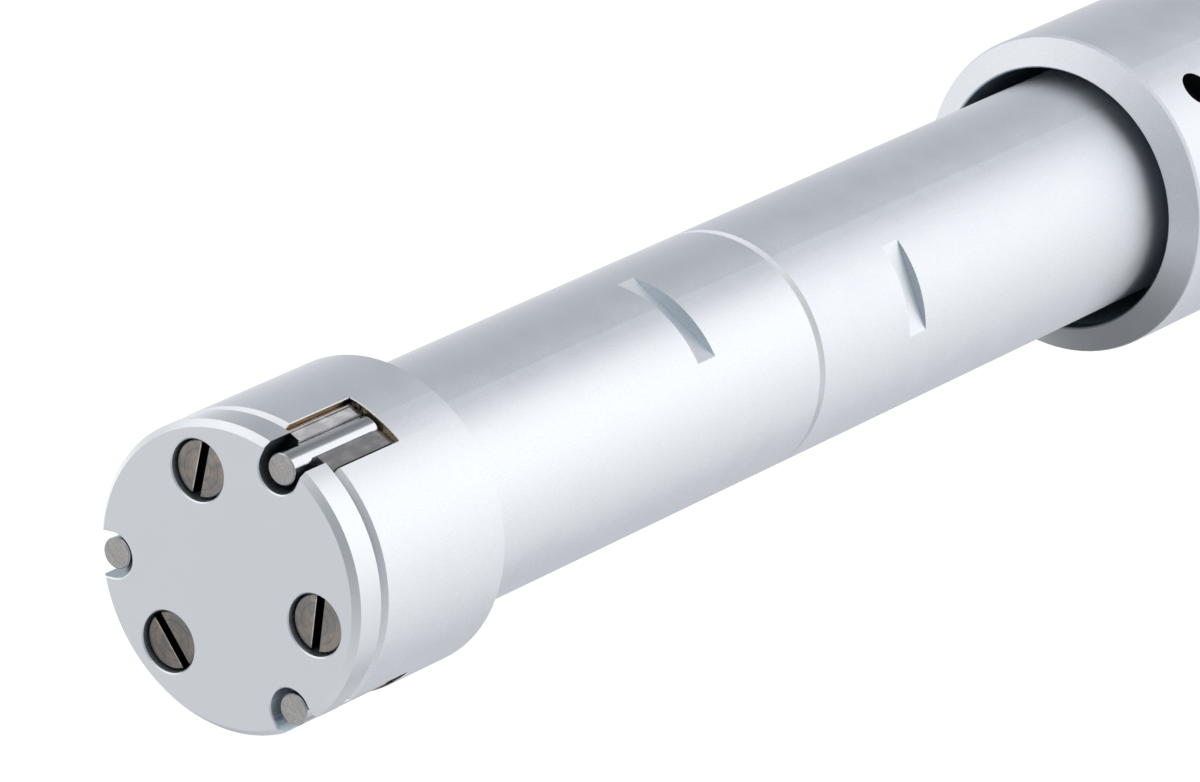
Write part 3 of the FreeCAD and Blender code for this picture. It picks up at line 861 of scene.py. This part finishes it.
@dataclass(frozen=True)
class Reading:
    """How the sleeve and the thimble are divided, in millimetres and degrees."""

    datum: float = 163.0
    rest_size: float = 19.2
    smallest: int = 20
    largest: int = 25
    pitch: float = 0.5
    divisions: int = 50
    edge_step: float = 0.31
    bevel: float = 7.0
    sleeve_reach: float = 10.0
    datum_before: float = 2.4
    datum_under: float = 0.6
    half_tick: float = 1.3
    tick: float = 1.6
    end_tick: float = 2.2
    sleeve_number: tuple[float, float] = (3.1, 1.5)
    line_start: float = 0.15
    line_end: float = 2.3
    fifth_end: float = 3.4
    thimble_number: tuple[float, float] = (5.0, 2.1)

    def build(self, paint: bpy.types.Material) -> None:
        """Make both scales.

        Args:
            paint: The material of the marks.
        """
        sleeve_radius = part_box("graduated_sleeve")[1].x / MM
        thimble_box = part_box("thimble")[1]
        edge = (TOP - thimble_box.z) / MM
        rear = edge + self.bevel
        sleeve_face = RoundFace(edge - self.sleeve_reach, rear, sleeve_radius, sleeve_radius)
        sleeve = Scale("sleeve_scale", "head", sleeve_face)
        self._sleeve(sleeve, edge)
        sleeve.wrap(paint)
        bevel = RoundFace(edge, rear, sleeve_radius + self.edge_step, thimble_box.x / MM)
        thimble = Scale("thimble_scale", "spindle", bevel)
        self._thimble(thimble, edge)
        thimble.wrap(paint)

    def _sleeve(self, scale: Scale, edge: float) -> None:
        """Lay the datum line, a tick each half millimetre on alternate sides, and the end numbers.

        Args:
            scale: The scale that takes them.
            edge: Depth of the thimble's front edge.
        """
        middle = scale.across(self.datum)
        half = scale.line_width / 2
        first = edge - self.largest + self.rest_size - self.datum_before
        scale.line((first, middle - half), (edge + self.datum_under, middle + half))
        for step in range(2 * (self.largest - self.smallest) + 1):
            size = self.smallest + step * self.pitch
            depth = edge - size + self.rest_size
            if step % 2:
                scale.line((depth - half, middle - self.half_tick), (depth + half, middle - half))
                continue
            length = self.end_tick if size in (self.smallest, self.largest) else self.tick
            scale.line((depth - half, middle + half), (depth + half, middle + length))
        aside, height = self.sleeve_number
        for size in (self.smallest, self.largest):
            scale.number(size, edge - size + self.rest_size, middle + aside, height)

    def _thimble(self, scale: Scale, edge: float) -> None:
        """Lay one line for each division of the turn, longer ones each fifth, with their numbers.

        Args:
            scale: The scale that takes them.
            edge: Depth of the thimble's front edge.
        """
        step = 360.0 / self.divisions
        at_rest = round(self.rest_size / self.pitch % 1 * self.divisions)
        behind, height = self.thimble_number
        for division in range(self.divisions):
            middle = scale.across(self.datum + (at_rest - division) * step)
            fifth = division % 5 == 0
            scale.line(
                (edge + self.line_start, middle - scale.line_width / 2),
                (edge + (self.fifth_end if fifth else self.line_end), middle + scale.line_width / 2))
            if fifth:
                scale.number(division, edge + behind, middle, height)


@dataclass(frozen=True)
class ReturnSpring:
    """Compression spring between the neck's web and the rod's flange, in millimetres.

    It stands for the rigid coil of the frame, because its ends lie on two bodies that slide together.
    """

    wire: float = 0.7
    turns: int = 6
    steps: int = 28
    sides: int = 12
    smooth_below: float = 40.0

    def build(self, steel: bpy.types.Material) -> bpy.types.Object:
        """Wind the spring.

        Args:
            steel: The material of the wire.

        Returns:
            The finished piece.
        """
        low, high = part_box("return_spring")
        radius = high.x - self.wire / 2 * MM
        pitch = (high.z - low.z - self.wire * MM) / self.turns
        bpy.ops.object.select_all(action="DESELECT")
        bpy.ops.mesh.primitive_circle_add(vertices=self.sides, radius=self.wire / 2 * MM)
        spring = bpy.context.object
        spring.name = "return_spring_coil"
        start = low.z + self.wire / 2 * MM
        for vertex in spring.data.vertices:
            vertex.co = Vector((radius + vertex.co.x, 0.0, start + vertex.co.y))
        bpy.ops.object.modifier_add(type="SCREW")
        screw = spring.modifiers[0]
        screw.axis = "Z"
        screw.screw_offset = pitch
        screw.iterations = self.turns
        screw.steps = self.steps
        screw.use_merge_vertices = False
        bpy.ops.object.modifier_apply(modifier=screw.name)
        bpy.ops.object.mode_set(mode="EDIT")
        bpy.ops.mesh.select_all(action="SELECT")
        bpy.ops.mesh.fill_holes(sides=0)
        bpy.ops.mesh.select_all(action="SELECT")
        bpy.ops.mesh.normals_make_consistent(inside=False)
        bpy.ops.object.mode_set(mode="OBJECT")
        bpy.ops.object.shade_smooth_by_angle(angle=math.radians(self.smooth_below))
        spring.data.materials.clear()
        spring.data.materials.append(steel)
        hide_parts("return_spring")
        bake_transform(spring)
        LOG.info("spring: %s, %d faces", spring.name, len(spring.data.polygons))
        return spring


class Studio:
    """White floor, soft light and the camera of the photograph."""

    CAMERA_AT = Vector((0.310143, -0.188548, 0.569932))
    CAMERA_RIGHT = Vector((0.371307, -0.715020, -0.592348))
    CAMERA_UP = Vector((0.743766, 0.610935, -0.271236))
    CAMERA_BACK = Vector((0.555825, -0.339856, 0.758654))
    LENS = 270.0
    SENSOR = 36.0
    FLOOR = 3.0
    FLOOR_GLOW = 0.82
    FLOOR_GREY = (0.35, 0.35, 0.35, 1.0)
    FLOOR_PALE = (0.8, 0.8, 0.8, 1.0)
    WHITE = (1.0, 1.0, 1.0)
    LAMP_AT = Vector((0.15, 0.10, 1.0))
    LAMP_AIM = Vector((0.0, 0.0, 0.14))
    LAMP_SIZE = 0.6
    LAMP_ENERGY = 1.2
    OVERHEAD_LEVEL = 0.43
    OVERHEAD_RISE = 0.42
    OVERHEAD_SIDE = 0.10
    RISE_ALONG = (-0.45, 0.45)
    HORIZON = (-0.15, 0.20)
    STEEP = (0.50, 0.85)
    DIM_TINT = (0.93, 0.97, 1.05)
    BRIGHT_TINT = (0.985, 0.995, 1.0)
    TINT_LEVELS = (0.2, 1.1)
    BELOW = (
        (-180.0, 0.64), (-165.0, 0.76), (-150.0, 0.55), (-135.0, 0.72), (-120.0, 0.93), (-105.0, 0.98),
        (-90.0, 1.04), (-75.0, 1.18), (-60.0, 1.28), (-45.0, 1.34), (-30.0, 1.38), (-15.0, 1.33),
        (-2.0, 1.33), (12.0, 0.78), (30.0, 0.59), (45.0, 0.53), (60.0, 0.47), (75.0, 0.57),
        (90.0, 0.65), (105.0, 0.76), (120.0, 1.12), (135.0, 1.22), (150.0, 0.98), (165.0, 0.60),
        (180.0, 0.64),
    )
    ABOVE = (
        (-180.0, 0.68), (-150.0, 0.84), (-132.0, 0.83), (-113.0, 0.79), (-90.0, 0.70), (-65.0, 0.54),
        (-38.0, 0.39), (-10.0, 0.46), (8.0, 0.70), (30.0, 1.04), (54.0, 1.26), (79.0, 1.25),
        (100.0, 1.16), (116.0, 1.00), (140.0, 0.90), (160.0, 0.78), (180.0, 0.68),
    )

    def camera(self) -> None:
        """Set the camera where the photograph's was."""
        data = bpy.data.cameras.new("camera")
        data.lens = self.LENS
        data.sensor_width = self.SENSOR
        data.clip_start = 0.01
        data.clip_end = 20.0
        camera = bpy.data.objects.new("camera", data)
        bpy.context.scene.collection.objects.link(camera)
        turn = Matrix((self.CAMERA_RIGHT, self.CAMERA_UP, self.CAMERA_BACK)).transposed()
        camera.matrix_world = Matrix.Translation(self.CAMERA_AT) @ turn.to_4x4()
        bpy.context.scene.camera = camera

    def floor(self) -> None:
        """Lay the pale floor that the instrument stands on."""
        bpy.ops.object.select_all(action="DESELECT")
        bpy.ops.mesh.primitive_plane_add(size=2 * self.FLOOR)
        floor = bpy.context.object
        floor.name = "floor"
        floor.visible_glossy = False
        made = bpy.data.materials.new("white floor")
        made.use_nodes = True
        graph = Graph(made.node_tree)
        seen = graph.add("ShaderNodeLightPath").outputs["Is Camera Ray"]
        paint = graph.add("ShaderNodeBsdfDiffuse", {}, {"Color": self.FLOOR_GREY})
        light = {"Color": (*self.WHITE, 1.0), "Strength": self.FLOOR_GLOW}
        glow = graph.add("ShaderNodeEmission", {}, light)
        lit = graph.add("ShaderNodeAddShader", {}, {0: paint.outputs[0], 1: glow.outputs[0]})
        plain = graph.add("ShaderNodeBsdfDiffuse", {}, {"Color": self.FLOOR_PALE})
        both = graph.add("ShaderNodeMixShader", {}, {0: seen, 1: plain.outputs[0], 2: lit.outputs[0]})
        graph.add("ShaderNodeOutputMaterial", {}, {0: both.outputs[0]})
        floor.data.materials.append(made)

    def world(self) -> None:
        """Light that differs with the direction, as the white and grey screens round the part do.

        BELOW and ABOVE hold the brightness by azimuth in degrees, below the horizon and above it.
        Overhead it is a soft grey that grows towards +Y.
        """
        world = bpy.data.worlds.new("studio")
        bpy.context.scene.world = world
        world.use_nodes = True
        graph = Graph(world.node_tree)
        direction = graph.add("ShaderNodeTexCoord").outputs["Generated"]
        parts = graph.add("ShaderNodeSeparateXYZ", {}, {0: direction})
        x, y, z = (Field(graph, parts.outputs[index]) for index in range(3))
        turn = y.apply("ARCTAN2", x) / (2 * math.pi) + 0.5
        overhead = self.OVERHEAD_LEVEL + self.OVERHEAD_RISE * y.ramp(*self.RISE_ALONG)
        overhead = overhead + self.OVERHEAD_SIDE * x
        raised = z.ramp(*self.HORIZON)
        steep = z.ramp(*self.STEEP)
        around = self._ring(graph, turn, self.BELOW) * (1 - raised)
        around = around + self._ring(graph, turn, self.ABOVE) * raised
        level = around * (1 - steep) + overhead * steep
        tint = graph.mix(level.ramp(*self.TINT_LEVELS), self.DIM_TINT, self.BRIGHT_TINT)
        colour = graph.add("ShaderNodeVectorMath", {"operation": "SCALE"}, {0: tint, "Scale": level})
        seen = graph.add("ShaderNodeLightPath").outputs["Is Camera Ray"]
        shade = graph.mix(seen, colour.outputs[0], self.WHITE)
        background = graph.add("ShaderNodeBackground", {}, {"Color": shade, "Strength": 1.0})
        graph.add("ShaderNodeOutputWorld", {}, {0: background.outputs[0]})

    def _ring(self, graph: Graph, turn: Field, stops: tuple[tuple[float, float], ...]) -> Field:
        """Brightness round about.

        Args:
            graph: The world's graph.
            turn: Azimuth, from 0 at -180 degrees to 1 at 180 degrees.
            stops: Azimuths in degrees with their levels.

        Returns:
            The level at that azimuth.
        """
        peak = max(level for _, level in stops)
        places = [((azimuth + 180.0) / 360.0, level / peak) for azimuth, level in stops]
        node = graph.add("ShaderNodeValToRGB", {"stops": places}, {0: turn})
        return Field(graph, node.outputs[0]) * peak

    def lamps(self) -> None:
        """Hang one soft lamp above."""
        data = bpy.data.lights.new("softbox", "AREA")
        data.shape = "RECTANGLE"
        data.size = self.LAMP_SIZE
        data.size_y = self.LAMP_SIZE
        data.energy = self.LAMP_ENERGY
        lamp = bpy.data.objects.new("softbox", data)
        bpy.context.scene.collection.objects.link(lamp)
        lamp.location = self.LAMP_AT
        lamp.visible_glossy = False
        aim = self.LAMP_AIM - self.LAMP_AT
        lamp.rotation_mode = "QUATERNION"
        lamp.rotation_quaternion = aim.to_track_quat("-Z", "Y")

    def build(self) -> None:
        """Set up the whole studio."""
        self.camera()
        self.floor()
        self.world()
        self.lamps()
        LOG.info("studio: camera, floor, world and softbox")


GRINDING = 60.0
PEARL = 0.45
SOFTER_PEARL = 0.51
CHROME = (0.80, 0.82, 0.855)
# Darker bluish colour of the end plate's notch walls: painted shade.
NOTCH_SHADE = (0.56, 0.64, 0.70)
SHADED = (0.64, 0.71, 0.75)
# Near-black painted shade for the bores of thimble and knob and for the barrel inside the sleeve's gap.
DEEP_SHADE = (0.05, 0.065, 0.075)
STRAW = (0.52, 0.41, 0.28)
BLACK = (0.010, 0.010, 0.011)


def finishes() -> dict[str, Finish]:
    """Finish of every node.

    Returns:
        The finish by node name.
    """
    pearl = dict(colour=CHROME, roughness=PEARL, bare=DEEP_SHADE)
    tube = dict(pearl, bare=SHADED, bare_streaks=0.04)
    table = {
        "head_body": SlotFinish(
            "pearl_head", CHROME, PEARL, bare=STRAW, plan=Plan.SLOTS, bare_roughness=0.38, bare_streaks=0.30),
        "neck_tube": TubeFinish("pearl_neck", **tube, wall=39.8),
        "stem_tube": TubeFinish("pearl_stem", **dict(tube, roughness=SOFTER_PEARL), wall=61.2),
        # The sleeve's bore colour is darker than its skin: painted shade in the gap round the stem.
        "graduated_sleeve": SleeveFinish(
            "pearl_sleeve", CHROME, SOFTER_PEARL, bare=(0.44, 0.54, 0.62), plan=Plan.BORE, bore=8.95),
        "thimble": Finish("pearl_thimble", **pearl, plan=Plan.BORE, bore=10.92),
        "ratchet_knob": Finish("pearl_knob", **pearl, plan=Plan.BORE, bore=6.6),
        # The barrel is painted near-black as shade in the gap between sleeve and stem.
        "barrel": Finish("barrel_painted_shade", DEEP_SHADE, 0.5),
        "end_plate": PlateFinish(
            "lapped_plate", (0.75, 0.772, 0.80), 0.32, grain=0.12, grain_height=0.0004, sparkle=0.02,
            mottle=0.015, bare=NOTCH_SHADE, plan=Plan.PLATE),
        "end_plate_screws": ScrewFinish(
            "screw_steel", (0.235, 0.225, 0.215), 0.33, sparkle=0.14, mottle=0.30, rings=0.13,
            stain=(0.31, 0.265, 0.23), bare=BLACK),
        "ratchet_screw": Finish(
            "ratchet_screw_steel", (0.22, 0.20, 0.18), 0.35, rings=0.2, grain_height=0.0008),
        "thrust_ball": Finish("ball_steel", (0.62, 0.63, 0.65), 0.15),
        "stem_bush": Finish("bush_bronze", (0.60, 0.42, 0.22), 0.38),
    }
    for index in range(1, ANVILS + 1):
        table[f"anvil_block_{index}"] = BlockFinish(
            f"ground_block_{index}", (0.78, 0.76, 0.76), 0.36, grain=0.05, lay=(1.0, 1.0, 8.0),
            sparkle=0.12, mottle=0.15)
        table[f"measuring_pin_{index}"] = PinFinish(
            f"hard_metal_{index}", (0.52, 0.53, 0.56), 0.17, grain=0.05, lay=(1.0, 1.0, 20.0),
            grain_height=0.0003, sparkle=0.05, bare=(0.46, 0.445, 0.43), bare_roughness=0.42)
    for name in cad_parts:
        if name not in table:
            table[name] = Finish(f"turned_{name}", (0.52, 0.53, 0.55), 0.32, rings=0.3)
    return table


def dress_nodes() -> None:
    """Give every node of the frame its finish."""
    for name, finish in finishes().items():
        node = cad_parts[name]
        node.data.materials.clear()
        node.data.materials.append(finish.material())
        LOG.info("finish of %s: %s", name, finish.name)


def main() -> None:
    """Dress the instrument, build what the solids leave to the looks, and light it."""
    logging.basicConfig(level=logging.INFO, format="%(name)s %(message)s")
    bpy.context.scene.view_settings.view_transform = "Standard"
    dress_nodes()
    paint = Finish("scale_paint", BLACK, 0.5, sparkle=0.0, metal=0.0)
    Reading().build(paint.material())
    ReturnSpring().build(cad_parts["return_spring"].data.materials[0])
    Studio().build()


if __name__ == "__main__":
    main()
